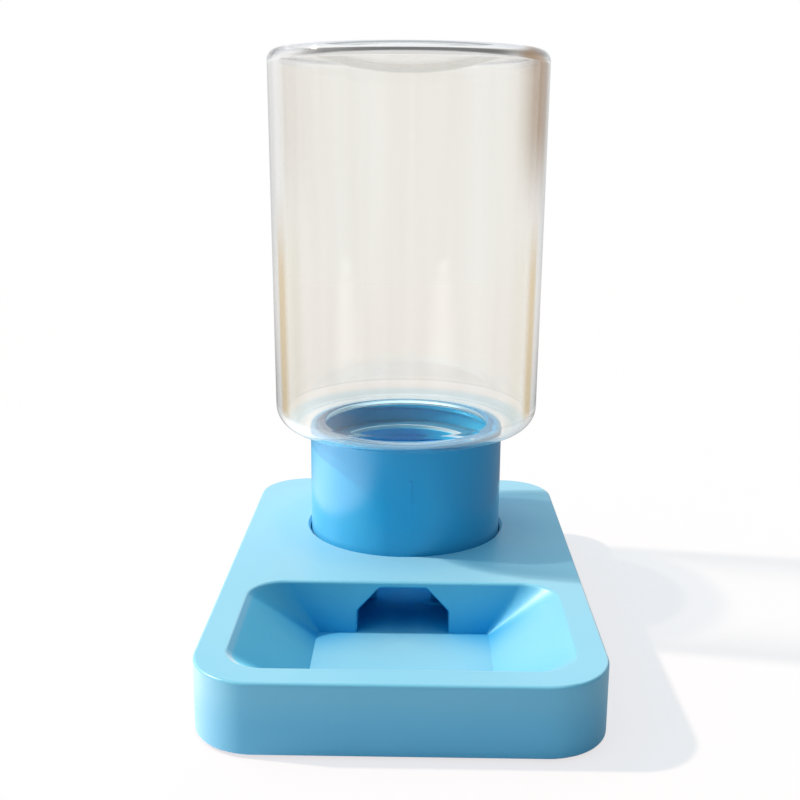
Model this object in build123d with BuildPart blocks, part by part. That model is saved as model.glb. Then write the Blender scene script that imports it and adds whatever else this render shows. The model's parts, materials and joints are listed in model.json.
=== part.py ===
from build123d import *
import os

# Reptile water dispenser, in millimetres: a clear bottle stands mouth down in a collar,
# the collar stands in the well of a moulded base, and an arched passage feeds the trough.
# The front faces -Y, +Z is up, and the origin is on the ground under the middle of the base.

# Base housing
base_width = 80.0
base_length = 123.5
base_corner_radius = 12.6
skirt_height = 14.7
skirt_wall = 1.6
deck_thickness = 1.4
deck_edge_radius = 0.6
skirt_foot_radius = 0.4

# Bottom plate, seated on a ledge inside the skirt
plate_thickness = 2.4
plate_recess = 0.8
plate_clearance = 0.1
plate_ledge = 1.0

# Feet, in shallow seats under the plate
foot_radius = 5.0
foot_protrusion = 0.6
foot_seat_depth = 0.8
foot_seat_clearance = 0.15
foot_edge = 0.4
foot_inset = 14.0

# Trough: each wall's run is how far it leans in between the rim and the floor
trough_width = 67.8
trough_length = 41.5
trough_front_margin = 6.0
trough_corner_radius = 8.0
trough_floor_corner_radius = 0.8
trough_side_run = 14.7
trough_front_run = 11.5
trough_back_run = 1.7
trough_skin = 2.2
trough_rim_radius = 0.7

# Arched mouth and passage between the trough and the well
arch_width = 20.6
arch_straight_height = 4.8
arch_flat_width = 10.6
arch_corner_radius = 1.0
arch_edge = 0.3
passage_wall = 1.6

# Collar and its socket
collar_radius = 24.0
collar_stand = 26.1
collar_from_front = 87.4
collar_wall = 1.6
collar_rim_radius = 0.5
collar_bore_edge = 0.3
seat_opening_radius = 16.6
seat_thickness = 1.6
outlet_width = 13.0
outlet_height = 6.0
outlet_corner_radius = 2.0
index_width = 0.5
index_length = 5.2
index_depth = 0.2
index_offset = 1.4
index_above_deck = 15.8
socket_clearance = 0.35
socket_wall = 1.6
socket_chamfer = 0.6

# Bottle, mouth down, and the seal under its lip
bottle_height = 89.9
bottle_end_radius = 33.1
bottle_shoulder_radius = 32.4
bottle_wall = 2.3
shoulder_round = 5.5
end_round = 2.6
inner_sharpening = 1.2
punt_radius = 21.5
punt_round = 2.0
punt_depth = 3.4
neck_radius = 21.7
neck_wall = 1.4
neck_length = 5.0
neck_thread_space = 0.9
neck_floor_round = 1.5
neck_root_round = 0.6
neck_lip_round = 0.4
bottle_gap = 0.3
seal_thickness = 0.8
seal_inner_radius = 17.0
seal_clearance = 0.3

# Levels and places that follow from the sizes above
skirt_bottom = foot_protrusion
deck_top = skirt_bottom + skirt_height
deck_underside = deck_top - deck_thickness
plate_bottom = skirt_bottom + plate_recess
plate_top = plate_bottom + plate_thickness
front_y = -base_length / 2
trough_rim_y = front_y + trough_front_margin + trough_length / 2
trough_floor_length = trough_length - trough_front_run - trough_back_run
trough_floor_y = trough_rim_y + (trough_front_run - trough_back_run) / 2
trough_floor_width = trough_width - 2 * trough_side_run
trough_back_y = trough_floor_y + trough_floor_length / 2
collar_y = front_y + collar_from_front
collar_top = deck_top + collar_stand
socket_radius = collar_radius + socket_clearance
bottle_bottom = collar_top + bottle_gap
bottle_top = bottle_bottom + bottle_height
neck_lip = bottle_bottom - neck_length
seat_top = neck_lip - seal_thickness
collar_bore_radius = neck_radius + neck_thread_space
collar_plane = Plane((0, collar_y, 0))


def rounded_prism(bottom, height, inset, mode=Mode.ADD):
    """An upright prism with the base's outline, drawn in by the inset."""
    with BuildSketch(Plane.XY.offset(bottom)) as outline:
        RectangleRounded(base_width - 2 * inset, base_length - 2 * inset, base_corner_radius - inset)
    extrude(outline.sketch, amount=height, mode=mode)


def trough_form(skin, mode):
    """The trough's hopper, grown sideways by the skin."""
    with BuildSketch(Plane((0, trough_floor_y, plate_top))) as floor:
        RectangleRounded(
            trough_floor_width + 2 * skin,
            trough_floor_length + 2 * skin,
            trough_floor_corner_radius + skin,
        )
    with BuildSketch(Plane((0, trough_rim_y, deck_top))) as rim:
        RectangleRounded(trough_width + 2 * skin, trough_length + 2 * skin, trough_corner_radius + skin)
    loft([floor.sketch.face(), rim.sketch.face()], ruled=True, mode=mode)


def passage_form(start_y, end_y, grow, mode):
    """The passage's arch, grown by a wall, from one y to another."""
    half = arch_width / 2 + grow
    flat = arch_flat_width / 2 + grow / 2
    shoulder = plate_top + arch_straight_height + grow / 2
    with BuildSketch(Plane.XZ.offset(-start_y)) as profile:
        with BuildLine():
            Polyline(
                (-half, plate_top),
                (-half, shoulder),
                (-flat, deck_underside),
                (flat, deck_underside),
                (half, shoulder),
                (half, plate_top),
                close=True,
            )
        make_face()
        fillet(profile.vertices().filter_by(lambda corner: corner.Y > plate_top), arch_corner_radius)
    extrude(profile.sketch, amount=start_y - end_y, mode=mode)


# Base housing: one moulded shell, open underneath
with BuildPart() as base_shell:
    rounded_prism(skirt_bottom, skirt_height, 0)
    outer_edges = base_shell.edges().filter_by(Plane.XY)
    fillet(outer_edges.group_by(Axis.Z)[-1], deck_edge_radius)
    fillet(base_shell.edges().group_by(Axis.Z)[0], skirt_foot_radius)
    rounded_prism(skirt_bottom, plate_top - skirt_bottom, skirt_wall, Mode.SUBTRACT)
    rounded_prism(plate_top, deck_underside - plate_top, skirt_wall + plate_ledge, Mode.SUBTRACT)
    trough_form(trough_skin, Mode.ADD)
    with BuildSketch(collar_plane.offset(plate_top)):
        Circle(socket_radius + socket_wall)
    extrude(amount=deck_top - plate_top)
    passage_form(trough_back_y, collar_y, passage_wall, Mode.ADD)
    trough_form(0, Mode.SUBTRACT)
    with BuildSketch(collar_plane.offset(plate_top)):
        Circle(socket_radius)
    extrude(amount=deck_top - plate_top, mode=Mode.SUBTRACT)
    passage_form(trough_floor_y, collar_y, 0, Mode.SUBTRACT)
    deck = base_shell.faces().filter_by(Axis.Z).sort_by(Axis.Z)[-1]
    trough_rim, socket_rim = deck.inner_wires().sort_by(Axis.Y)
    chamfer(socket_rim.edges(), socket_chamfer)
    fillet(trough_rim.edges(), trough_rim_radius)
    beside_mouth = (trough_floor_width + arch_width) / 4
    back_wall_middle = (beside_mouth, trough_back_y + trough_back_run / 2, (plate_top + deck_top) / 2)
    back_wall = base_shell.faces().sort_by_distance(back_wall_middle)[0]
    across_mouth = back_wall.edges().filter_by_position(Axis.X, -beside_mouth, beside_mouth)
    mouth = across_mouth.filter_by_position(Axis.Z, plate_top, deck_underside, (False, True))
    chamfer(mouth, arch_edge)
base_shell.part.label = "base_shell"

# Bottom plate: the floor of the trough, the passage and the well
foot_x = base_width / 2 - foot_inset
foot_y = base_length / 2 - foot_inset
foot_places = {
    "foot_front_left": (-foot_x, -foot_y),
    "foot_front_right": (foot_x, -foot_y),
    "foot_rear_left": (-foot_x, foot_y),
    "foot_rear_right": (foot_x, foot_y),
}
with BuildPart() as bottom_plate:
    rounded_prism(plate_bottom, plate_thickness, skirt_wall + plate_clearance)
    with BuildSketch(Plane.XY.offset(plate_bottom)):
        with Locations(*foot_places.values()):
            Circle(foot_radius + foot_seat_clearance)
    extrude(amount=foot_seat_depth, mode=Mode.SUBTRACT)
bottom_plate.part.label = "bottom_plate"

# Collar: a tube with an inner seat for the bottle's lip and four outlets at its foot
outlet_planes = (
    Plane((0, collar_y, plate_top), x_dir=(1, 0, 0), z_dir=(0, -1, 0)),
    Plane((0, collar_y, plate_top), x_dir=(0, 1, 0), z_dir=(1, 0, 0)),
)
with BuildPart() as collar:
    with BuildSketch(collar_plane.offset(plate_top)):
        Circle(collar_radius)
    extrude(amount=collar_top - plate_top)
    fillet(collar.edges().group_by(Axis.Z)[-1], collar_rim_radius)
    with BuildSketch(collar_plane.offset(seat_top)):
        Circle(collar_bore_radius)
    extrude(amount=collar_top - seat_top, mode=Mode.SUBTRACT)
    bore_edge = collar.edges().filter_by(GeomType.CIRCLE).group_by(Axis.Z)[-1].sort_by(SortBy.RADIUS)[0]
    chamfer(bore_edge, collar_bore_edge)
    with BuildSketch(collar_plane.offset(plate_top)):
        Circle(collar_radius - collar_wall)
    extrude(amount=seat_top - seat_thickness - plate_top, mode=Mode.SUBTRACT)
    with BuildSketch(collar_plane.offset(seat_top)):
        Circle(seat_opening_radius)
    extrude(amount=-seat_thickness, mode=Mode.SUBTRACT)
    for outlet_plane in outlet_planes:
        with BuildSketch(outlet_plane) as outlet:
            Rectangle(outlet_width, 2 * outlet_height)
            fillet(outlet.vertices(), outlet_corner_radius)
        extrude(amount=collar_radius, both=True, mode=Mode.SUBTRACT)
    with BuildSketch(Plane.XZ.offset(collar_radius - collar_wall / 2 - collar_y)):
        with Locations((index_offset, deck_top + index_above_deck)):
            Rectangle(index_width, index_length)
    extrude(amount=collar_wall / 2 + index_depth)
collar.part.label = "collar"

# Neck seal: a flat ring between the seat and the bottle's lip
with BuildPart() as neck_seal:
    with BuildSketch(collar_plane.offset(seat_top)):
        Circle(collar_bore_radius - seal_clearance)
        Circle(seal_inner_radius, mode=Mode.SUBTRACT)
    extrude(amount=seal_thickness)
neck_seal.part.label = "neck_seal"

# Bottle: one moulded shell with a hollowed end, a rounded shoulder and a short wide neck
bottle_plane = Plane.XZ.offset(-collar_y)
bottle_axis = Axis((0, collar_y, 0), (0, 0, 1))


def bottle_outline(inset, neck_inset, rounds):
    """One side of the bottle's section: its outer face, or its inner face drawn in by the wall."""
    floor = bottle_bottom + inset
    end = bottle_top - inset
    corners = {
        "neck": (neck_radius - neck_inset, floor),
        "shoulder": (bottle_shoulder_radius - inset, floor),
        "end": (bottle_end_radius - inset, end),
        "punt": (punt_radius, end),
    }
    with BuildSketch(bottle_plane) as outline:
        with BuildLine():
            Polyline(
                (0, end - punt_depth),
                (0, neck_lip),
                (neck_radius - neck_inset, neck_lip),
                *corners.values(),
            )
            TangentArc((0, end - punt_depth), corners["punt"], tangent=(1, 0))
        make_face()
        for name, radius in rounds.items():
            fillet(outline.vertices().sort_by_distance(corners[name])[0], radius)
    return outline.sketch


with BuildPart() as bottle:
    outer_rounds = {"neck": neck_root_round, "shoulder": shoulder_round, "end": end_round, "punt": punt_round}
    revolve(bottle_outline(0, 0, outer_rounds), axis=bottle_axis)
    inner_rounds = {
        "neck": neck_floor_round,
        "shoulder": shoulder_round - bottle_wall,
        "end": end_round - inner_sharpening,
        "punt": punt_round,
    }
    revolve(bottle_outline(bottle_wall, neck_wall, inner_rounds), axis=bottle_axis, mode=Mode.SUBTRACT)
    fillet(bottle.edges().group_by(Axis.Z)[0], neck_lip_round)
bottle.part.label = "bottle"

# Feet: soft pads, one at each corner
feet = []
for name, place in foot_places.items():
    with BuildPart() as foot:
        with BuildSketch(Plane.XY):
            with Locations(place):
                Circle(foot_radius)
        extrude(amount=plate_bottom + foot_seat_depth)
        chamfer(foot.edges().group_by(Axis.Z)[0], foot_edge)
    foot.part.label = name
    feet.append(foot.part)

pieces = [base_shell.part, bottom_plate.part, collar.part, neck_seal.part, bottle.part] + feet
os.makedirs("parts", exist_ok=True)
for piece in pieces:
    export_step(piece, f"parts/{piece.label}.step")
    print(piece.label, round(piece.volume / 1000, 2), "cm3")
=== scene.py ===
import json
import math

import bpy
from mathutils import Matrix, Vector


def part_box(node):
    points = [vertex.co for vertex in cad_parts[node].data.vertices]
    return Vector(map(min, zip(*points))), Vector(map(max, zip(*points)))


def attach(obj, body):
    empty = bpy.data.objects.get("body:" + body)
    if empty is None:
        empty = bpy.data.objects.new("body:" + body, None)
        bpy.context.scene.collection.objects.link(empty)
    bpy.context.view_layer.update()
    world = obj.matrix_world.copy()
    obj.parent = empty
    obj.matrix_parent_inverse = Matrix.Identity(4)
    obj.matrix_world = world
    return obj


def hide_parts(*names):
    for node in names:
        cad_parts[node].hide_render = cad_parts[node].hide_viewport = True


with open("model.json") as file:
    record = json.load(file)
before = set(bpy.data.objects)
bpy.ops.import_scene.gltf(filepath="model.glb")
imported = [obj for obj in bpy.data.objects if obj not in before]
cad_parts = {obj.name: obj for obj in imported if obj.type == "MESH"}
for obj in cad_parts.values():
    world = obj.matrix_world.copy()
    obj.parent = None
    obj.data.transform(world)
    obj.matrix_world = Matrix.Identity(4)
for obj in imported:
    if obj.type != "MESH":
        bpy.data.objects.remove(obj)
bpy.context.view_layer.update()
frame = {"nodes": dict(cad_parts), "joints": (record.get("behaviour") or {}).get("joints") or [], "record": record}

# Looks of the reptile water dispenser: a satin blue base with its trough, a glossy blue
# collar, and a clear, faintly amber bottle standing mouth down in the collar.
# Sizes are written in millimetres, as in the part's source, and scaled to metres here.
# Places that only a material or a light uses are written in metres.
MM = 0.001


def reach(node, axis):
    """A node's low and high end along an axis at rest, in millimetres to three places."""
    return [round(corner["XYZ".index(axis)] / MM, 3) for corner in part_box(node)]


# Places from the frame: the axis that the bottle turns on, its two ends, and the seal's middle
turning = {joint["name"]: joint for joint in frame["joints"]}["bottle_turn"]
collar_y = round(turning["pos_m"][1] / MM, 3)
neck_lip, bottle_top = reach("bottle", "Z")
seal_middle = sum(reach("neck_seal", "Z")) / 2

# Sizes that the dressed pieces share with the solids
collar_bore_radius = 22.6
bottle_wall = 2.3
end_radius = 33.1
shoulder_radius = 32.4
shoulder_round = 5.5
end_round = 2.6
inner_sharpening = 1.2
punt_radius = 21.5
punt_round = 2.0
punt_depth = 3.4
neck_radius = 21.7
neck_wall = 1.4
neck_length = 5.0
neck_root_round = 0.6
neck_lip_round = 0.4
bottle_bottom = neck_lip + neck_length

# The bottle's inside as its refraction shows it: a thinner floor and end than the solid's
neck_floor_round = 0.5
mouth_floor = 1.2
end_wall = 1.7
floor_corner_round = 3.6

# Thread between the neck and the collar, with the rise per turn that the joints have
rise_per_radian = frame["record"]["behaviour"]["couplings"][0]["ratio"]
thread_pitch = round(rise_per_radian * math.tau / MM, 3)
thread_height = 0.4
thread_base = 1.5
thread_crest = 0.3
thread_fade = 0.06  # of a turn
thread_bedding = 0.05
thread_root = 0.25
neck_thread_start = neck_lip + 1.05
neck_thread_turns = 0.8
collar_thread_start = neck_lip + 0.85
collar_thread_turns = 0.92
collar_thread_phase = (collar_thread_start - neck_thread_start - thread_pitch / 2) / thread_pitch


# Nodes

def feed(tree, socket, value):
    """Gives a socket another node's output, or a plain number, place or colour."""
    if isinstance(value, bpy.types.NodeSocket):
        tree.links.new(value, socket)
    elif socket.type == "RGBA":
        socket.default_value = (*value, 1)
    else:
        socket.default_value = value


def share(tree, value, low, high, at_low=0.0, at_high=1.0, interpolation="SMOOTHSTEP"):
    """Spreads a value's range from low to high over another range."""
    node = tree.nodes.new("ShaderNodeMapRange")
    node.interpolation_type = interpolation
    names = ("From Min", "From Max", "To Min", "To Max")
    for name, number in zip(names, (low, high, at_low, at_high)):
        node.inputs[name].default_value = number
    tree.links.new(value, node.inputs["Value"])
    return node.outputs["Result"]


def spread(tree, texture, low, high):
    """The middle of a texture's range spread over another range."""
    return share(tree, texture, 0.3, 0.7, low, high, "LINEAR")


def maths(tree, operation, first, second):
    node = tree.nodes.new("ShaderNodeMath")
    node.operation = operation
    feed(tree, node.inputs[0], first)
    feed(tree, node.inputs[1], second)
    return node.outputs["Value"]


def vector_maths(tree, operation, first, second, output="Value"):
    node = tree.nodes.new("ShaderNodeVectorMath")
    node.operation = operation
    feed(tree, node.inputs[0], first)
    feed(tree, node.inputs[1], second)
    return node.outputs[output]


def blend(tree, factor, first, second, kind="MIX"):
    """Two colours mixed, from the first at 0 to the second at 1."""
    node = tree.nodes.new("ShaderNodeMix")
    node.data_type = "RGBA"
    node.blend_type = kind
    feed(tree, node.inputs["Factor"], factor)
    feed(tree, node.inputs["A"], first)
    feed(tree, node.inputs["B"], second)
    return node.outputs["Result"]


def times(tree, first, second):
    """One colour multiplied by another."""
    return blend(tree, 1.0, first, second, "MULTIPLY")


def choose(tree, factor, first, second):
    """Two shaders mixed, from the first at 0 to the second at 1."""
    node = tree.nodes.new("ShaderNodeMixShader")
    for socket, output in zip(node.inputs, (factor, first, second)):
        tree.links.new(output, socket)
    return node.outputs["Shader"]


def bands(tree, source, stops):
    """A colour ramp through stops of (position, colour)."""
    node = tree.nodes.new("ShaderNodeValToRGB")
    row = node.color_ramp.elements
    while len(row) < len(stops):
        row.new(0.5)
    for stop, (position, colour) in zip(row, stops):
        stop.position = position
        stop.color = (*colour, 1)
    tree.links.new(source, node.inputs["Fac"])
    return node.outputs["Color"]


def ramp(tree, source, low, high, start=0.0, stop=1.0):
    """A colour ramp from low to high over a part of the source's range."""
    return bands(tree, source, ((start, low), (stop, high)))


def place(tree, kind="Object"):
    """Coordinates, in metres for the object's own."""
    return tree.nodes.new("ShaderNodeTexCoord").outputs[kind]


def place_along(tree, axis):
    node = tree.nodes.new("ShaderNodeSeparateXYZ")
    tree.links.new(place(tree), node.inputs["Vector"])
    return node.outputs[axis]


def at_height(tree, low, high, at_low=0.0, at_high=1.0):
    """A share that changes from one height to another."""
    return share(tree, place_along(tree, "Z"), low, high, at_low, at_high)


def flat_place(tree):
    return vector_maths(tree, "MULTIPLY", place(tree), (1.0, 1.0, 0.0), "Vector")


def off_axis(tree, low, high):
    """From 0 near the bottle's axis to 1 further out."""
    away = vector_maths(tree, "DISTANCE", flat_place(tree), (0.0, collar_y * MM, 0.0))
    return share(tree, away, low, high)


def noise(tree, scale, detail=2.0, roughness=0.5, stretch=(1, 1, 1)):
    """Noise in the object's own coordinates."""
    mapping = tree.nodes.new("ShaderNodeMapping")
    mapping.inputs["Scale"].default_value = stretch
    texture = tree.nodes.new("ShaderNodeTexNoise")
    texture.inputs["Scale"].default_value = scale
    texture.inputs["Detail"].default_value = detail
    texture.inputs["Roughness"].default_value = roughness
    tree.links.new(place(tree), mapping.inputs["Vector"])
    tree.links.new(mapping.outputs["Vector"], texture.inputs["Vector"])
    return texture.outputs["Fac"]


def bump(tree, shader, layers):
    """Bumps in layers of (height source, height in metres, strength)."""
    previous = None
    for height, distance, strength in layers:
        node = tree.nodes.new("ShaderNodeBump")
        node.inputs["Strength"].default_value = strength
        node.inputs["Distance"].default_value = distance
        tree.links.new(height, node.inputs["Height"])
        if previous is not None:
            tree.links.new(previous, node.inputs["Normal"])
        previous = node.outputs["Normal"]
    tree.links.new(previous, shader.inputs["Normal"])


# Materials

white = (1.0, 1.0, 1.0)

# Painted shade in the base's hollows: how far one reaches, and the colours that its own is multiplied by.
# Open places keep most of their colour: the outward walls, by how far out they face, the
# deck, by height, and for the painted shade on the sheen the trough's lit wall, by its place across
hollow_depth = 0.013
outward_walls = (0.028, 0.036)
deck_level = (0.0141, 0.0147)
lit_wall = (0.008, 0.021)
open_wall = 0.86
open_deck = 0.90
hollow_shade_colour = (0.02, 0.58, 0.88)
deepest_hollow_shade = (0.20, 0.40, 0.60)
trough_sheen_shade = (0.30, 0.82, 1.0)

# Painted shade and blue bounce light in the collar's bore: the radii where it begins, and what its colour and
# shine are multiplied by
bore_edge = (0.0225, 0.0238)
bore_shade_colour = (0.36, 1.25, 1.18)
bore_shade_shine = (0.22, 0.70, 0.95)

# A pale highlight painted at the seal's inner edge: where it ends, and its colour
seal_edge = (0.01735, 0.01765)
painted_edge_highlight = (0.85, 0.90, 0.92)

pale_blue = ((0.175, 0.550, 0.755), (0.200, 0.575, 0.780))
deep_blue = ((0.030, 0.445, 0.790), (0.038, 0.465, 0.810))


def material(name):
    """A new node material, with its tree and its Principled shader."""
    made = bpy.data.materials.new(name)
    made.use_nodes = True
    tree = made.node_tree
    return made, tree, tree.nodes["Principled BSDF"]


def open_places(tree):
    """Large on the deck and the outward walls, which never get the painted hollow shade, and 0 elsewhere.
    The second share is large well to the right too, where the trough's wall is lit."""
    outward = vector_maths(tree, "DOT_PRODUCT", flat_place(tree), place(tree, "Normal"))
    walls = share(tree, outward, *outward_walls, at_high=open_wall)
    deck = at_height(tree, *deck_level, at_high=open_deck)
    lit = share(tree, place_along(tree, "X"), *lit_wall, at_high=open_wall)
    outer = maths(tree, "MAXIMUM", walls, deck)
    return outer, maths(tree, "MAXIMUM", outer, lit)


def hollows(tree, shader, colour, hollow_sheen_shade):
    """Painted shade: the colour and the shine darken and turn bluer in hollows."""
    hollow = tree.nodes.new("ShaderNodeAmbientOcclusion")
    hollow.samples = 6
    hollow.inputs["Distance"].default_value = hollow_depth
    outer, lit = open_places(tree)
    openness = maths(tree, "MAXIMUM", hollow.outputs["AO"], outer)
    shade_tint = ramp(tree, openness, hollow_shade_colour, white, 0.50, 0.97)
    deepest_shade_tint = ramp(tree, openness, deepest_hollow_shade, white, 0.15, 0.55)
    tree.links.new(shade_tint, shader.inputs["Specular Tint"])
    sheen_shade_tint = ramp(tree, lit, hollow_sheen_shade, white, 0.0, open_wall)
    tree.links.new(times(tree, shade_tint, sheen_shade_tint), shader.inputs["Sheen Tint"])
    return times(tree, times(tree, colour, shade_tint), deepest_shade_tint)


def bore(tree, shader, colour):
    """Painted shade and bounce light: the colour and the shine are deeper and bluer inside the collar."""
    outer = off_axis(tree, *bore_edge)
    shine = ramp(tree, outer, bore_shade_shine, white)
    tree.links.new(shine, shader.inputs["Specular Tint"])
    tree.links.new(shine, shader.inputs["Sheen Tint"])
    return times(tree, colour, ramp(tree, outer, bore_shade_colour, white))


def plastic(name, colours, gloss, grain, sheen, hollow_sheen_shade=None):
    """Moulded plastic: a slow drift of colour and gloss with the flow, and a fine grain
    whose pale sheen shows at low angles. The base's pieces get painted shade in their
    hollows, on the colour and the sheen, and the collar gets painted shade in its bore."""
    made, tree, shader = material(name)
    drift = noise(tree, 22.0)
    fine = noise(tree, 2600.0, 3.0, 0.6)
    flow = noise(tree, 60.0, 1.0, 0.4, (1, 1, 0.35))
    colour = ramp(tree, drift, *colours, 0.3, 0.7)
    if hollow_sheen_shade:
        colour = hollows(tree, shader, colour, hollow_sheen_shade)
    else:
        colour = bore(tree, shader, colour)
    tree.links.new(colour, shader.inputs["Base Color"])
    tree.links.new(spread(tree, flow, *gloss), shader.inputs["Roughness"])
    shader.inputs["IOR"].default_value = 1.52
    shader.inputs["Sheen Weight"].default_value = sheen
    shader.inputs["Sheen Roughness"].default_value = 0.5
    bump(tree, shader, [(flow, 0.00012, 0.25), (fine, 0.00002, grain)])
    return made


def silicone():
    """Blue silicone, with a pale highlight painted at its thin inner edge."""
    made, tree, shader = material("seal_silicone")
    tint = noise(tree, 90.0)
    body = ramp(tree, tint, (0.05, 0.27, 0.46), (0.07, 0.30, 0.50))
    middle = (0.0, collar_y * MM, seal_middle * MM)
    away = vector_maths(tree, "DISTANCE", place(tree), middle)
    # The pale ring at the inner edge is a painted highlight
    colour = blend(tree, share(tree, away, *seal_edge), painted_edge_highlight, body)
    tree.links.new(colour, shader.inputs["Base Color"])
    tree.links.new(spread(tree, tint, 0.38, 0.5), shader.inputs["Roughness"])
    bump(tree, shader, [(noise(tree, 1800.0), 0.00002, 0.3)])
    return made


def rubber():
    """Pale grey rubber with a matt skin."""
    made, tree, shader = material("foot_rubber")
    tint = noise(tree, 160.0, 3.0, 0.6)
    colour = ramp(tree, tint, (0.62, 0.63, 0.62), (0.72, 0.73, 0.72))
    tree.links.new(colour, shader.inputs["Base Color"])
    tree.links.new(spread(tree, tint, 0.6, 0.75), shader.inputs["Roughness"])
    bump(tree, shader, [(noise(tree, 1500.0, 4.0, 0.7), 0.00005, 0.5)])
    return made


# Heights on the bottle, in metres, between which its tint or its shadow changes
neck_ends = (0.0410, 0.0416)
mouth_ends = (0.0412, 0.0416)
rim_ends = (0.0416, 0.0419)
rim_fades = (0.044, 0.050)
under_shoulder = (0.0425, 0.0442)
above_shoulder = (0.0450, 0.0490)
floor_shadow = (0.0432, 0.0450)
stray_fades = (0.046, 0.060)
amber_fades = (0.078, 0.104)
end_ring = (0.1291, 0.1299)
# Light in the bottle goes straight on after this many glossy bounces, and so does this
# share of what passes the neck
most_bounces = 2.5
neck_share = 0.93
# Radii between which the mouth's rim and the end's clear middle end
mouth_radius = (0.0228, 0.0245)
end_middle = (0.024, 0.026)

# The bottle's tints from the wall seen face on to the wall seen edge on
face_on = (0.965, 0.960, 0.940)
low_wall_bands = (
    (0.36, face_on),
    (0.47, (0.88, 0.85, 0.75)),
    (0.55, (0.94, 0.90, 0.80)),
    (0.62, (0.74, 0.53, 0.27)),
    (0.69, (0.68, 0.46, 0.18)),
    (0.74, (0.97, 0.96, 0.93)),
    (1.0, (0.96, 0.955, 0.94)),
)
# Its grey bands are painted dark reflections
high_wall_bands = (
    (0.42, face_on),
    (0.50, (0.96, 0.955, 0.93)),
    (0.54, (0.86, 0.85, 0.81)),
    (0.59, (1.0, 1.0, 0.99)),
    (0.71, (1.0, 1.0, 0.99)),
    (0.75, (0.88, 0.88, 0.86)),
    (0.80, (0.99, 0.99, 0.98)),
)
# A painted reflection of the blue collar, under the bottle's shoulder
shoulder_reflection_bands = (
    (0.30, (0.60, 0.82, 0.94)),
    (0.55, (0.70, 0.87, 0.95)),
    (0.70, (0.97, 0.98, 0.98)),
    (1.0, (0.80, 0.81, 0.81)),
)
# A painted dark reflection round the bottle's end
end_reflection_bands = (
    (0.40, (0.96, 0.96, 0.95)),
    (0.58, (0.70, 0.72, 0.76)),
    (0.74, (0.52, 0.54, 0.60)),
    (0.86, (0.90, 0.90, 0.91)),
    (1.0, (0.90, 0.90, 0.90)),
)
# A painted dark reflection in the end's inner corner
inner_end_reflection_bands = (
    (0.35, (0.95, 0.95, 0.94)),
    (0.50, (0.72, 0.73, 0.77)),
    (0.80, (0.60, 0.61, 0.67)),
    (0.90, (0.97, 0.97, 0.97)),
    (1.0, (0.99, 0.99, 0.985)),
)


def outside_tint(tree, facing):
    """The bottle's outer skin: amber low on the wall, grey bands that are painted dark reflections,
    a painted reflection of the blue collar under the shoulder, a grey stroke round the end that
    is a painted dark reflection, and faint streaks down the wall."""
    def turned(stops):
        return bands(tree, facing, stops)

    low_wall, high_wall = turned(low_wall_bands), turned(high_wall_bands)
    body = blend(tree, at_height(tree, *amber_fades), low_wall, high_wall)
    shoulder = turned(shoulder_reflection_bands)
    clear = blend(tree, at_height(tree, *under_shoulder), shoulder, (0.95, 0.955, 0.95))
    body = blend(tree, at_height(tree, *above_shoulder), clear, body)
    body = blend(tree, at_height(tree, *mouth_ends), (0.97, 0.985, 0.99), body)
    streaks = noise(tree, 110.0, 3.0, 0.6, (1, 1, 0.03))
    clouds = noise(tree, 34.0, stretch=(1, 1, 0.22))
    streaked = times(tree, body, ramp(tree, streaks, (0.93, 0.925, 0.91), white, 0.35, 0.65))
    streaked = times(tree, streaked, ramp(tree, clouds, (0.96, 0.945, 0.925), white, 0.35, 0.62))
    body = blend(tree, share(tree, facing, 0.42, 0.55), streaked, body)
    body = blend(tree, at_height(tree, *end_ring), body, turned(end_reflection_bands))
    return blend(tree, off_axis(tree, *end_middle), white, body)


def inside_tint(tree, facing, waviness):
    """The bottle's inner skin: a painted glint and a painted dark line at the floor's corner, a grey
    stroke in the end's corner that is a painted dark reflection, and a blue rim at the mouth that
    is a painted reflection of the collar."""
    wall = ramp(tree, waviness, (0.915, 0.905, 0.875), (0.935, 0.928, 0.90))
    corner = (bottle_bottom + mouth_floor + floor_corner_round) * MM
    # A painted dark line at the floor's corner, with a painted glint under it
    above = blend(tree, at_height(tree, corner, corner + 0.0003), (0.82, 0.82, 0.81), wall)
    lit_line = at_height(tree, corner - 0.0004, corner - 0.0002)
    tint = blend(tree, lit_line, (1.0, 1.0, 0.995), above)
    end = (bottle_top - end_wall - end_round + inner_sharpening) * MM
    stroke = bands(tree, facing, inner_end_reflection_bands)
    tint = blend(tree, at_height(tree, end - 0.0002, end + 0.0001), tint, stroke)
    # The blue rim at the mouth is a painted reflection of the collar
    rim = blend(tree, at_height(tree, *rim_ends), (0.74, 0.97, 1.0), (0.46, 0.78, 0.96))
    middle = blend(tree, at_height(tree, *rim_fades), rim, white)
    return blend(tree, off_axis(tree, *mouth_radius), middle, tint)


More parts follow.
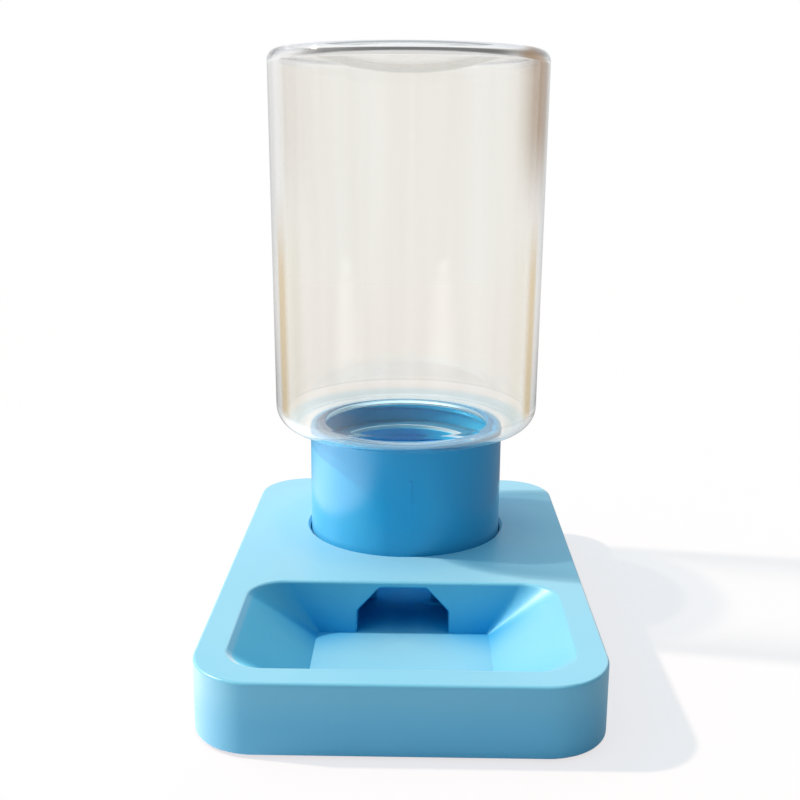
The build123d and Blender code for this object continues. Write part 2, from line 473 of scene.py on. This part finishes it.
def straight_light(tree, facing):
    """The share of light that goes straight through the bottle, and its tint: shadows and
    bounced light, light that has been thrown about inside the wall, and most of what
    passes the neck."""
    path = tree.nodes.new("ShaderNodeLightPath").outputs
    lost = maths(tree, "GREATER_THAN", path["Glossy Depth"], most_bounces)
    straight = maths(tree, "MAXIMUM", path["Is Shadow Ray"], path["Is Diffuse Ray"])
    straight = maths(tree, "MAXIMUM", straight, lost)
    straight = maths(tree, "MAXIMUM", straight, at_height(tree, *neck_ends, neck_share, 0.0))
    shade = ramp(tree, facing, (0.985, 0.985, 0.98), (0.50, 0.50, 0.48), 0.30, 0.95)
    shade = blend(tree, at_height(tree, *floor_shadow), (0.58, 0.62, 0.66), shade)
    shade = blend(tree, at_height(tree, *neck_ends), white, shade)
    # Low down, near the collar, the stray light is painted blue as a reflection of the collar
    collar_blue_stray, high_stray = (0.62, 0.83, 0.92), (0.93, 0.945, 0.955)
    stray = blend(tree, at_height(tree, *stray_fades), collar_blue_stray, high_stray)
    tint = blend(tree, path["Is Shadow Ray"], (0.99, 0.995, 1.0), shade)
    return straight, blend(tree, lost, tint, stray)


def clear_plastic(name, outside):
    """Clear bottle plastic with a faint warm tint, for the bottle's outer or inner skin.
    Light that only passes through to other pieces goes straight, so the collar inside
    stays lit."""
    made, tree, shader = material(name)
    shader.inputs["Transmission Weight"].default_value = 1.0
    shader.inputs["IOR"].default_value = 1.49
    waviness = noise(tree, 30.0, 1.0, 0.4, (1, 1, 0.10))
    fine = noise(tree, 700.0, stretch=(1, 1, 0.3))
    tree.links.new(spread(tree, fine, 0.0, 0.02), shader.inputs["Roughness"])
    bump(tree, shader, [(waviness, 0.0001, 0.10)])
    edge = tree.nodes.new("ShaderNodeLayerWeight")
    edge.inputs["Blend"].default_value = 0.5
    facing = edge.outputs["Facing"]
    tint = outside_tint(tree, facing) if outside else inside_tint(tree, facing, waviness)
    tree.links.new(tint, shader.inputs["Base Color"])
    straight, straight_tint = straight_light(tree, facing)
    through = tree.nodes.new("ShaderNodeBsdfTransparent")
    tree.links.new(straight_tint, through.inputs["Color"])
    mixed = choose(tree, straight, shader.outputs["BSDF"], through.outputs["BSDF"])
    tree.links.new(mixed, tree.nodes["Material Output"].inputs["Surface"])
    return made


def dress(node, finish):
    """Gives a carried-over node its finish."""
    slots = frame["nodes"][node].data.materials
    slots.clear()
    slots.append(finish)


# The base and the plate get painted shade in their hollows; the collar gets painted shade in its bore
base_blue = plastic("base_plastic", pale_blue, (0.34, 0.42), 0.35, 0.8, trough_sheen_shade)
plate_blue = plastic("plate_plastic", pale_blue, (0.36, 0.44), 0.35, 0.8, white)
collar_blue = plastic("collar_plastic", deep_blue, (0.20, 0.27), 0.12, 0.25)
foot_finish = rubber()
dress("base_shell", base_blue)
dress("bottom_plate", plate_blue)
dress("collar", collar_blue)
dress("neck_seal", silicone())
for node in frame["nodes"]:
    if node.startswith("foot_"):
        dress(node, foot_finish)


# Meshes

def mesh_piece(name, vertices, faces, finishes, normals=None):
    """A smooth mesh object in metres, from points in millimetres."""
    mesh = bpy.data.meshes.new(name)
    mesh.from_pydata([tuple(value * MM for value in v) for v in vertices], [], faces)
    mesh.polygons.foreach_set("use_smooth", [True] * len(mesh.polygons))
    for finish in finishes:
        mesh.materials.append(finish)
    if normals is not None:
        mesh.normals_split_custom_set_from_vertices(normals)
    mesh.update()
    made = bpy.data.objects.new(name, mesh)
    bpy.context.scene.collection.objects.link(made)
    return made


def smooth_step(value):
    """A smooth rise from 0 to 1 as the value goes from 0 to 1."""
    value = min(max(value, 0.0), 1.0)
    return value * value * (3 - 2 * value)


def ridge(offset, along, turns):
    """Height of the thread's ridge at a distance from its middle line and along its turns."""
    slope = smooth_step((thread_base / 2 - abs(offset)) / ((thread_base - thread_crest) / 2))
    ends = smooth_step(along / thread_fade) * smooth_step((turns - along) / thread_fade)
    return thread_height * slope * ends


def neck_thread(angle, z):
    """How far the neck's thread stands out at an angle and a height."""
    best = 0.0
    for lap in (-1, 0, 1):
        along = angle / math.tau + lap
        offset = z - neck_thread_start - thread_pitch * along
        if abs(offset) < thread_base / 2:
            best = max(best, ridge(offset, along, neck_thread_turns))
    return best


def turn(centre, radius, start, stop, outward, steps):
    """An arc of the section, as points and normals. Angles are from straight up, clockwise."""
    made = []
    for i in range(steps + 1):
        a = math.radians(start + (stop - start) * i / steps)
        side = 1 if outward else -1
        made.append((
            centre[0] + radius * math.sin(a),
            centre[1] + radius * math.cos(a),
            side * math.sin(a),
            side * math.cos(a),
        ))
    return made


def run(start, stop, normal, steps):
    """Points between the ends of a straight run of the section."""
    made = []
    for i in range(1, steps):
        t = i / steps
        made.append((
            start[0] + (stop[0] - start[0]) * t,
            start[1] + (stop[1] - start[1]) * t,
            normal[0],
            normal[1],
        ))
    return made


def bend(before, corner, after, radius, steps):
    """A round where the section turns at a corner, on its way from one point to another."""
    start = math.atan2(corner[1] - before[1], corner[0] - before[0])
    change = math.atan2(after[1] - corner[1], after[0] - corner[0]) - start
    side = 1 if change > 0 else -1
    back = radius * math.tan(abs(change) / 2)
    middle = (
        corner[0] - back * math.cos(start) - side * radius * math.sin(start),
        corner[1] - back * math.sin(start) + side * radius * math.cos(start),
    )
    made = []
    for i in range(steps + 1):
        a = start + change * i / steps
        normal = (-math.sin(a), math.cos(a))
        made.append((
            middle[0] - side * radius * normal[0],
            middle[1] - side * radius * normal[1],
            normal[0],
            normal[1],
        ))
    return made


def punt(end, side):
    """The hollow of the bottle's end, from its middle out to the flat ring, with its round."""
    bowl = (punt_radius ** 2 + punt_depth ** 2) / (2 * punt_depth)
    middle = end - punt_depth + bowl
    drop = middle - (end - punt_round)
    centre = math.sqrt((bowl + punt_round) ** 2 - drop ** 2)
    lean = math.degrees(math.asin(centre / (bowl + punt_round)))
    hollow = turn((0, middle), bowl, 180, 180 - lean, side < 0, 16)
    rim = turn((centre, end - punt_round), punt_round, -lean, 0, side > 0, 8)
    return hollow + rim[1:]


def bottle_section():
    """The bottle's closed section from the axis over the outside to the axis inside."""
    lean = math.degrees(math.atan2(end_radius - shoulder_radius, bottle_top - bottle_bottom))
    cosine, sine = math.cos(math.radians(lean)), math.sin(math.radians(lean))
    outer_end = (end_radius - end_round * (1 + sine) / cosine, bottle_top - end_round)
    outer_shoulder = (
        shoulder_radius - shoulder_round * (1 - sine) / cosine,
        bottle_bottom + shoulder_round,
    )
    outside = punt(bottle_top, 1)
    outside += turn(outer_end, end_round, 0, 90 + lean, True, 18)
    shoulder = turn(outer_shoulder, shoulder_round, 90 + lean, 180, True, 28)
    outside += run(outside[-1], shoulder[0], (cosine, -sine), 24) + shoulder
    root = (neck_radius + neck_root_round, bottle_bottom - neck_root_round)
    outside += turn(root, neck_root_round, 0, -90, False, 8)
    neck_inside = neck_radius - neck_wall
    lip_height = neck_lip + neck_lip_round
    lip = turn((neck_radius - neck_lip_round, lip_height), neck_lip_round, 90, 180, True, 8)
    outside += run(outside[-1], lip[0], (1, 0), 44) + lip
    outside += turn((neck_inside + neck_lip_round, lip_height), neck_lip_round, 180, 270, True, 8)
    floor = bottle_bottom + mouth_floor
    end = bottle_top - end_wall
    inner_end_round = end_round - inner_sharpening
    lean_in = math.degrees(math.atan2(end_radius - shoulder_radius, end - bottle_bottom))
    cosine, sine = math.cos(math.radians(lean_in)), math.sin(math.radians(lean_in))
    corner = (
        end_radius - bottle_wall - inner_end_round * (1 + sine) / cosine,
        end - inner_end_round,
    )
    top_corner = turn(corner, inner_end_round, 90 + lean_in, 0, False, 14)
    wall_foot = (top_corner[0][0] - (top_corner[0][1] - floor) * sine / cosine, floor)
    mouth_edge = (neck_inside + neck_floor_round, floor - neck_floor_round)
    inside = turn(mouth_edge, neck_floor_round, 270, 360, True, 8)
    inside += bend(inside[-1], wall_foot, top_corner[0], floor_corner_round, 24)
    inside += run(inside[-1], top_corner[0], (-cosine, sine), 24) + top_corner
    inside += list(reversed(punt(end, -1)))
    return outside, inside


def bottle_piece():
    """The bottle turned from its section, with the thread raised on its neck."""
    outside, inside = bottle_section()
    around = 288
    step_up, step_round = 0.02, 0.002
    vertices, normals, faces, rings = [], [], [], []
    for r, z, nr, nz in outside + inside:
        if r < 1e-6:
            rings.append([len(vertices)])
            vertices.append((0.0, collar_y, z))
            normals.append((0.0, 0.0, 1.0 if nz > 0 else -1.0))
            continue
        on_neck = abs(r - neck_radius) < 1e-6 and abs(nr - 1) < 1e-6
        ring = []
        for i in range(around):
            a = math.tau * i / around
            c, s = math.cos(a), math.sin(a)
            out, tilt, twist = r, 0.0, 0.0
            if on_neck:
                out = r + neck_thread(a, z)
                rise = neck_thread(a, z + step_up) - neck_thread(a, z - step_up)
                swell = neck_thread(a + step_round, z) - neck_thread(a - step_round, z)
                tilt = rise / (2 * step_up)
                twist = swell / (2 * step_round) / r
            ring.append(len(vertices))
            vertices.append((out * c, collar_y + out * s, z))
            n = Vector((nr * c + twist * s, nr * s - twist * c, nz - tilt)).normalized()
            normals.append(tuple(n))
        rings.append(ring)
    inner_from = 0
    for number, (lower, upper) in enumerate(zip(rings, rings[1:]), 1):
        if number == len(outside):
            inner_from = len(faces)
        for i in range(around):
            j = (i + 1) % around
            if len(lower) == 1:
                faces.append((lower[0], upper[i], upper[j]))
            elif len(upper) == 1:
                faces.append((lower[i], upper[0], lower[j]))
            else:
                faces.append((lower[i], upper[i], upper[j], lower[j]))
    outer_skin = clear_plastic("bottle_plastic", True)
    inner_skin = clear_plastic("bottle_plastic_inside", False)
    made = mesh_piece("bottle_shell", vertices, faces, [outer_skin, inner_skin], normals)
    inner = [0] * inner_from + [1] * (len(faces) - inner_from)
    made.data.polygons.foreach_set("material_index", inner)
    return made


bottle = bottle_piece()
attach(bottle, "bottle")
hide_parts("bottle")


def collar_thread():
    """The collar's inner thread: a ridge on the bore that fades out at both ends."""
    steps, across = 300, 12
    vertices, faces = [], []
    for i in range(steps + 1):
        along = collar_thread_turns * i / steps
        a = math.tau * (along + collar_thread_phase)
        z = collar_thread_start + thread_pitch * along
        for j in range(across + 1):
            offset = thread_base * (j / across - 0.5)
            inward = ridge(offset, along, collar_thread_turns) / thread_height
            r = collar_bore_radius + thread_bedding - inward * (thread_height + thread_bedding)
            vertices.append((r * math.cos(a), collar_y + r * math.sin(a), z + offset))
        for j in (across, 0):
            offset = thread_base * (j / across - 0.5)
            r = collar_bore_radius + thread_root
            vertices.append((r * math.cos(a), collar_y + r * math.sin(a), z + offset))
    ring = across + 3
    for i in range(steps):
        for j in range(ring):
            k = (j + 1) % ring
            faces.append((i * ring + j, i * ring + k, (i + 1) * ring + k, (i + 1) * ring + j))
    faces.append(tuple(reversed(range(ring))))
    faces.append(tuple(steps * ring + j for j in range(ring)))
    return mesh_piece("collar_thread", vertices, faces, [collar_blue])


thread = collar_thread()
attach(thread, "collar")


# Floor, light and camera

# How brightly the lamps and the world light the bare floor, and how much of that its own
# shadow keeps: the rest of the white is the floor's as seen, so it meets the backdrop
floor_half = 600.0
floor_light = (1.12, 1.265, 1.235)
floor_shade = 0.22
# What bounced light sees of the floor: its colours to the left and the right of a strip
floor_left = (0.72, 0.75, 0.84)
floor_right = (0.26, 0.30, 0.36)
floor_strip = (0.02, 0.10)
# How bright gloss sees the floor and the room where they meet, and the floor far out,
# and between which distances the floor dims
horizon = 0.6
far_floor = 0.25
dimming = (0.15, 0.60)
# The bright card that gloss sees to the left: its middle, where it fades, and its glow
card_middle = (-0.13, -0.01, 0)
card_edge = (0.03, 0.16)
card_glow = 3.4
# Two rows of soft patches that the bottle's front mirrors as tall streaks: their
# directions, the distance and reach of each patch, and their glow
row_directions = ((-0.78, -0.63), (0.50, -0.86))
row_patches = ((0.31, 0.10), (0.41, 0.12), (0.53, 0.12), (0.66, 0.10))
row_glow = 1.6
# The room's colours: its fill, what gloss sees of it, and the warm far corner behind glass
fill_colour = (0.46, 0.84, 0.98)
mirrored_colour = (0.98, 0.99, 1.0)
corner_colour = (0.42, 0.28, 0.17)


def matt(shader, colour):
    """A surface with no gloss."""
    feed(shader.id_data, shader.inputs["Base Color"], colour)
    shader.inputs["Roughness"].default_value = 0.9
    shader.inputs["Specular IOR Level"].default_value = 0.0


def floor_plane():
    """A plain white floor that keeps the object's shadow. What gloss mirrors of it is dimmer,
    as between dark flags, with a bright card to the left."""
    made, tree, shader = material("floor_white")
    across = place_along(tree, "X")
    matt(shader, ramp(tree, across, floor_left, floor_right, *floor_strip))
    paper = tree.nodes.new("ShaderNodeBsdfPrincipled")
    matt(paper, (floor_shade, floor_shade, floor_shade))
    own_white = tuple(1.0 - floor_shade * light for light in floor_light)
    feed(tree, paper.inputs["Emission Color"], own_white)
    paper.inputs["Emission Strength"].default_value = 1.0

    def patch(middle, inner, outer, low, high):
        """A soft round patch of the floor."""
        away = vector_maths(tree, "DISTANCE", place(tree), middle)
        return share(tree, away, outer, inner, low, high)

    card = patch(card_middle, *card_edge, 0.0, card_glow)
    cards = maths(tree, "ADD", card, patch((0, 0, 0), *dimming, horizon, far_floor))
    for x, y in row_directions:
        for away, reach in row_patches:
            glow = patch((x * away, y * away, 0), 0.0, reach, 0.0, row_glow)
            cards = maths(tree, "ADD", cards, glow)
    mirrored = tree.nodes.new("ShaderNodeEmission")
    tree.links.new(cards, mirrored.inputs["Strength"])
    path = tree.nodes.new("ShaderNodeLightPath").outputs
    seen = maths(tree, "MAXIMUM", path["Is Camera Ray"], path["Is Transmission Ray"])
    lit = choose(tree, path["Is Glossy Ray"], shader.outputs["BSDF"], mirrored.outputs["Emission"])
    mixed = choose(tree, seen, lit, paper.outputs["BSDF"])
    tree.links.new(mixed, tree.nodes["Material Output"].inputs["Surface"])
    half = floor_half
    corners = [(-half, -half, 0), (half, -half, 0), (half, half, 0), (-half, half, 0)]
    return mesh_piece("floor", corners, [(0, 1, 2, 3)], [made])


floor_plane()


def world_light():
    """White for what is seen directly; a soft room for the rest: bright behind and to the
    left, dimmer in front and to the right, with a dim ceiling and a warm far corner that
    the glass shows."""
    world = bpy.data.worlds.new("studio")
    bpy.context.scene.world = world
    world.use_nodes = True
    tree = world.node_tree
    tree.nodes.clear()
    path = tree.nodes.new("ShaderNodeLightPath").outputs

    def towards(direction, start, stop, low, high):
        """A smooth share of the sky around a direction."""
        direction = Vector(direction).normalized()
        dot = vector_maths(tree, "DOT_PRODUCT", place(tree, "Generated"), direction)
        return share(tree, dot, start, stop, low, high)

    def background(strength, colour):
        node = tree.nodes.new("ShaderNodeBackground")
        feed(tree, node.inputs["Color"], colour)
        feed(tree, node.inputs["Strength"], strength)
        return node.outputs["Background"]

    fill = background(towards((-0.60, 0.50, 0.62), -0.5, 0.8, 0.08, 1.0), fill_colour)
    side = towards((-0.55, 0.80, 0.25), -0.6, 0.7, 0.22, 1.0)
    panel = towards((-0.92, -0.20, 0.35), 0.78, 0.95, 1.0, 2.5)
    overhead = towards((0.0, -0.35, 0.94), 0.86, 0.97, 1.0, 3.5)
    level = tree.nodes.new("ShaderNodeMix")
    level.inputs["A"].default_value = horizon
    lamps = maths(tree, "MULTIPLY", maths(tree, "MULTIPLY", side, panel), overhead)
    tree.links.new(lamps, level.inputs["B"])
    tree.links.new(towards((0, 0, 1), 0.0, 0.22, 0.0, 1.0), level.inputs["Factor"])
    mirrored = background(level.outputs["Result"], mirrored_colour)
    room = choose(tree, path["Is Glossy Ray"], fill, mirrored)
    ceiling = towards((0, 0, 1), 0.30, 0.75, 1.0, 0.18)
    warm_side = towards((0.70, 0.71, 0.06), 0.80, 0.95, 0.0, 1.0)
    above_floor = towards((0, 0, 1), -0.09, 0.01, 0.0, 1.0)
    warm_share = maths(tree, "MULTIPLY", warm_side, above_floor)
    behind_glass = background(ceiling, blend(tree, warm_share, white, corner_colour))
    seen = choose(tree, path["Is Transmission Ray"], room, behind_glass)
    seen = choose(tree, path["Is Camera Ray"], seen, background(1.0, white))
    output = tree.nodes.new("ShaderNodeOutputWorld")
    tree.links.new(seen, output.inputs["Surface"])


world_light()

# The lamp: its height and its angle round from the front, from the photo's shadows, then
# what it points at, how far off it stands, its strength, its spread and its colour
key_height = math.radians(41)
key_side = math.radians(99)
key_target = (0, 0, 0.05)
key_distance = 2.0
key_strength = 3.95
key_spread = math.radians(2.5)
key_colour = (1.0, 0.78, 0.62)


def key_lamp():
    """A warm sun-like lamp from the left."""
    data = bpy.data.lights.new("key", "SUN")
    data.energy = key_strength
    data.angle = key_spread
    data.color = key_colour
    towards = Vector((
        -math.sin(key_side) * math.cos(key_height),
        -math.cos(key_side) * math.cos(key_height),
        math.sin(key_height),
    )).normalized()
    made = bpy.data.objects.new("key", data)
    made.rotation_mode = "QUATERNION"
    made.location = Vector(key_target) + towards * key_distance
    made.rotation_quaternion = (-towards).to_track_quat("-Z", "Y")
    made.visible_camera = False
    made.visible_transmission = False
    bpy.context.scene.collection.objects.link(made)


key_lamp()

# The photograph's camera: its place, its tilts in degrees, its focal length in pixels, its
# sensor's width, and in metres how near and how far it sees
camera_place = (2.446, -244.429, 112.667)
camera_pitch, camera_yaw, camera_roll = 13.566, -0.845, -0.36
focal_pixels = 1104
photo_width = 800
sensor_width = 36.0
camera_range = (0.01, 50.0)


def camera():
    """Looks along its pitch and yaw, and rolls about that line."""
    data = bpy.data.cameras.new("camera")
    data.sensor_width = sensor_width
    data.lens = focal_pixels / photo_width * sensor_width
    data.clip_start, data.clip_end = camera_range
    made = bpy.data.objects.new("camera", data)
    pitch, yaw, roll = (math.radians(angle) for angle in (camera_pitch, camera_yaw, camera_roll))
    forward = Vector((
        math.sin(yaw) * math.cos(pitch),
        math.cos(yaw) * math.cos(pitch),
        -math.sin(pitch),
    ))
    right = Vector((math.cos(yaw), -math.sin(yaw), 0))
    down = forward.cross(right)
    across = math.cos(roll) * right + math.sin(roll) * down
    along = math.cos(roll) * down - math.sin(roll) * right
    turned = Matrix((across, -along, -forward)).transposed()
    made.matrix_world = Matrix.Translation(Vector(camera_place) * MM) @ turned.to_4x4()
    bpy.context.scene.collection.objects.link(made)
    bpy.context.scene.camera = made


camera()
bpy.context.scene.view_settings.view_transform = "Standard"
